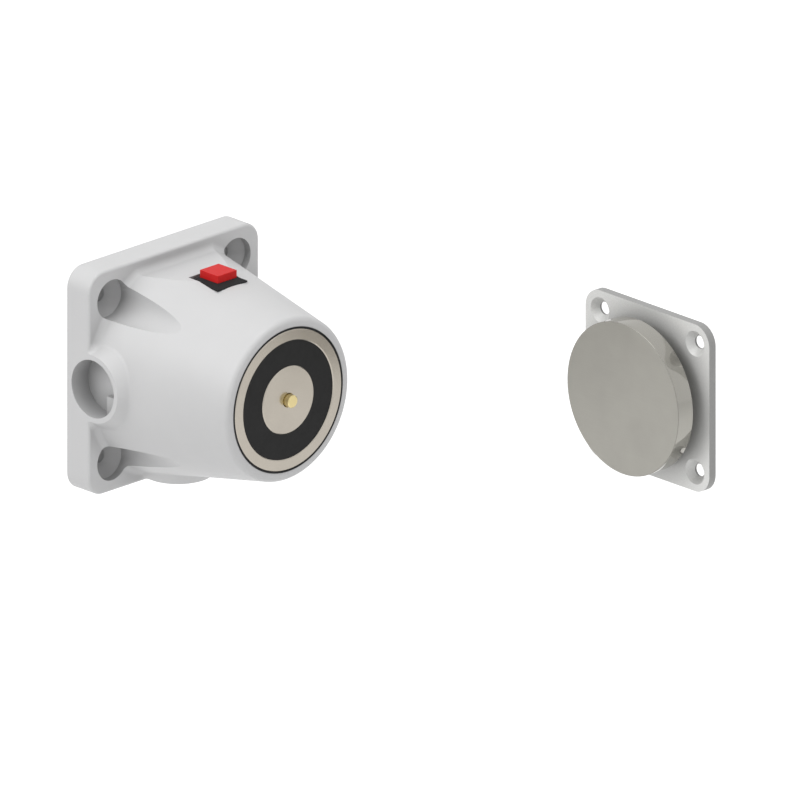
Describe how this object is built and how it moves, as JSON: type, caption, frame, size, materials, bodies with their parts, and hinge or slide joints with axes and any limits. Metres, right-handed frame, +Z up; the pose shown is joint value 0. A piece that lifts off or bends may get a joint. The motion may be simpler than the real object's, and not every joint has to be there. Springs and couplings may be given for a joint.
{
  "type": "electromagnetic door lock",
  "caption": "Wall-mounted electromagnetic door lock: conical moulded housing with pot magnet and release button, and a ball-jointed disc keeper on a door plate.",
  "frame": {"origin": "centre of the magnet unit's wall face, on the magnet's axis", "axes": "+X out of the wall along the magnet's axis, +Z up; the keeper's disc faces -Y, as on a door standing open at a right angle"},
  "size_m": [0.1736, 0.1363, 0.08],
  "materials": {
    "housing_plastic": "fine satin moulding",
    "pot_steel": "ground, satin nickel",
    "black_resin": "smooth cast resin",
    "black_sleeve": "moulded",
    "spool_plastic": "moulded",
    "copper_wire": "enamelled winding",
    "plated_steel": "bright zinc",
    "spring_steel": "drawn wire",
    "brass": "turned",
    "black_plastic": "moulded",
    "red_plastic": "moulded",
    "tinned_metal": "tinned",
    "board_green": "coated laminate",
    "block_grey": "moulded",
    "lead_red": "insulation",
    "lead_black": "insulation",
    "plate_paint": "fine matt coat",
    "disc_nickel": "satin nickel",
    "white_nylon": "moulded"
  },
  "bodies": {
    "root": {"housing": "housing_plastic", "magnet_pot": "pot_steel", "coil_bobbin": "spool_plastic", "coil_winding": "copper_wire", "potting_ring": "black_resin", "pot_sleeve": "black_sleeve", "pot_screws": "plated_steel", "ejector_spring": "spring_steel", "ejector_plug": "plated_steel", "button_bezel": "black_plastic", "button_spring": "spring_steel", "switch_contacts": "tinned_metal", "circuit_board": "board_green", "board_screws": "plated_steel", "terminal_block": "block_grey", "terminal_screws": "plated_steel", "suppressor_diode": "black_plastic", "coil_leads": "lead_red", "switch_leads": "lead_black", "armature_plate": "plate_paint", "ball_stud": "plated_steel"},
    "release_button": {"release_button": "red_plastic"},
    "ejector_pin": {"ejector_pin": "brass"},
    "ball_liner": {"ball_liner": "white_nylon"},
    "keeper": {"keeper_disc": "disc_nickel", "liner_retainer": "plated_steel"}
  },
  "joints": [
    {"name": "button_press", "type": "slide", "parent": "root", "child": "release_button", "axis": [0, 0, -1], "range_m": [0, 0.002], "stiffness_N_per_m": 800, "deforming": ["button_spring"]},
    {"name": "pin_press", "type": "slide", "parent": "root", "child": "ejector_pin", "axis": [-1, 0, 0], "range_m": [0, 0.0023], "stiffness_N_per_m": 1500, "deforming": ["ejector_spring"]},
    {"name": "keeper_tilt", "type": "hinge", "parent": "root", "child": "ball_liner", "pos_m": [0.1436, 0.0861, 0], "axis": [1, 0, 0], "range_deg": [-5, 5]},
    {"name": "keeper_swing", "type": "hinge", "parent": "ball_liner", "child": "keeper", "pos_m": [0.1436, 0.0861, 0], "axis": [0, 0, 1], "range_deg": [-5, 5]}
  ]
}
